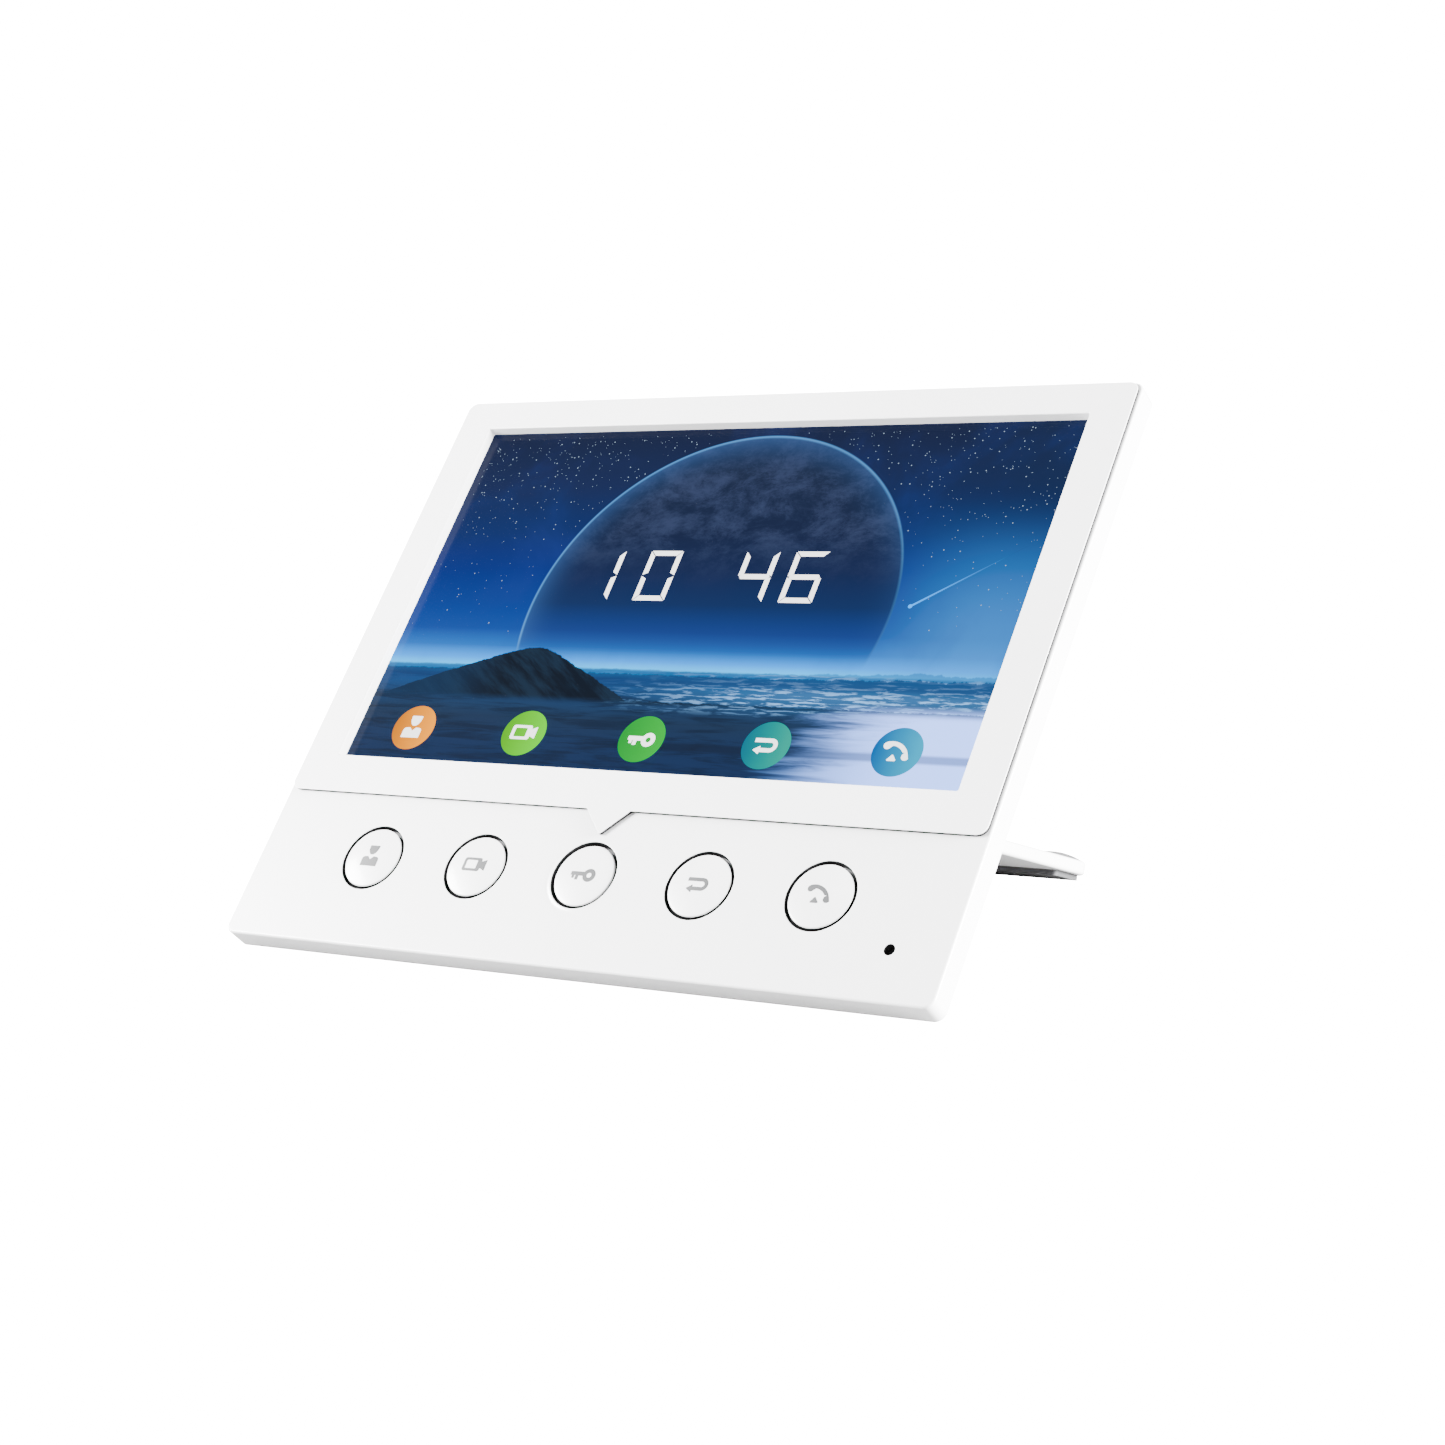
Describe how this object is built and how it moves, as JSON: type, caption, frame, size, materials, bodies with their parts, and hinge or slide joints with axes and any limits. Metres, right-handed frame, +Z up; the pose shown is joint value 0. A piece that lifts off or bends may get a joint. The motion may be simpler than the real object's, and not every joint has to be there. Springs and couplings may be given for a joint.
{
  "type": "video intercom monitor",
  "caption": "White table-standing video intercom monitor with a wide display above a row of round push keys, leaning back on a fold-out stand.",
  "frame": {"origin": "on the table, at the middle of the bounding box in X and Y, in the use pose with the stand open", "axes": "+X to the user's right, +Y away from the user, +Z up; the display faces -Y and up"},
  "size_m": [0.1744, 0.1162, 0.1085],
  "materials": {
    "white_gloss": "glossy moulded white",
    "white_satin": "fine satin white",
    "icon_grey": "light grey, moulded in",
    "dark_rubber": "soft matt",
    "black_plastic": "matt",
    "grey_plastic": "matt",
    "screen_glass": "glossy, showing a picture",
    "lcd": "satin",
    "film": "milky film stack",
    "steel": "stamped",
    "zinc": "plated",
    "aluminium": "stamped",
    "brass": "plated",
    "green_board": "solder mask",
    "chip_black": "moulded",
    "flex": "thin film",
    "magnet": "dark plated",
    "cone_paper": "coated paper",
    "lead_red": "insulation",
    "label_silver": "blank film label",
    "terminal_green": "moulded"
  },
  "bodies": {
    "panel": {"front_housing": "white_gloss", "display_bezel": "white_gloss", "lens_gasket": "dark_rubber", "display_lens": "screen_glass", "lcd_cell": "lcd", "lcd_frame": "steel", "backlight_unit": "film", "display_flex": "flex", "chassis_plate": "aluminium", "plate_screws": "zinc", "key_board": "green_board", "key_board_screws": "zinc", "tact_switches": "black_plastic", "key_flex": "flex", "mic_boot": "dark_rubber", "microphone": "zinc", "main_board": "green_board", "board_standoffs": "brass", "board_screws": "zinc", "board_components": "chip_black", "processor_shield": "steel", "network_socket": "grey_plastic", "socket_contacts": "brass", "terminal_block": "terminal_green", "terminal_clamps": "zinc", "speaker_gasket": "dark_rubber", "speaker_basket": "steel", "speaker_magnet": "magnet", "speaker_cone": "cone_paper", "speaker_lead": "lead_red", "rear_housing": "white_satin", "housing_screws": "zinc", "rating_plate": "label_silver", "front_feet": "dark_rubber", "hinge_pins": "steel"},
    "stand": {"stand_frame": "white_gloss", "stand_foot_strip": "dark_rubber", "stand_bumpers": "dark_rubber"},
    "key_contact": {"cap_contact": "white_gloss", "icon_contact": "icon_grey", "carrier_contact": "grey_plastic"},
    "key_camera": {"cap_camera": "white_gloss", "icon_camera": "icon_grey", "carrier_camera": "grey_plastic"},
    "key_unlock": {"cap_unlock": "white_gloss", "icon_unlock": "icon_grey", "carrier_unlock": "grey_plastic"},
    "key_back": {"cap_back": "white_gloss", "icon_back": "icon_grey", "carrier_back": "grey_plastic"},
    "key_hangup": {"cap_hangup": "white_gloss", "icon_hangup": "icon_grey", "carrier_hangup": "grey_plastic"}
  },
  "joints": [
    {"name": "stand_hinge", "type": "hinge", "parent": "panel", "child": "stand", "pos_m": [0, -0.01197, 0.0264], "axis": [1, 0, 0], "range_deg": [0, 66]},
    {"name": "press_contact", "type": "slide", "parent": "panel", "child": "key_contact", "axis": [0, 0.7302, -0.6833], "range_m": [0, 0.0006], "stiffness_N_per_m": 900, "springref_m": -0.0002},
    {"name": "press_camera", "type": "slide", "parent": "panel", "child": "key_camera", "axis": [0, 0.7302, -0.6833], "range_m": [0, 0.0006], "stiffness_N_per_m": 900, "springref_m": -0.0002},
    {"name": "press_unlock", "type": "slide", "parent": "panel", "child": "key_unlock", "axis": [0, 0.7302, -0.6833], "range_m": [0, 0.0006], "stiffness_N_per_m": 900, "springref_m": -0.0002},
    {"name": "press_back", "type": "slide", "parent": "panel", "child": "key_back", "axis": [0, 0.7302, -0.6833], "range_m": [0, 0.0006], "stiffness_N_per_m": 900, "springref_m": -0.0002},
    {"name": "press_hangup", "type": "slide", "parent": "panel", "child": "key_hangup", "axis": [0, 0.7302, -0.6833], "range_m": [0, 0.0006], "stiffness_N_per_m": 900, "springref_m": -0.0002}
  ]
}
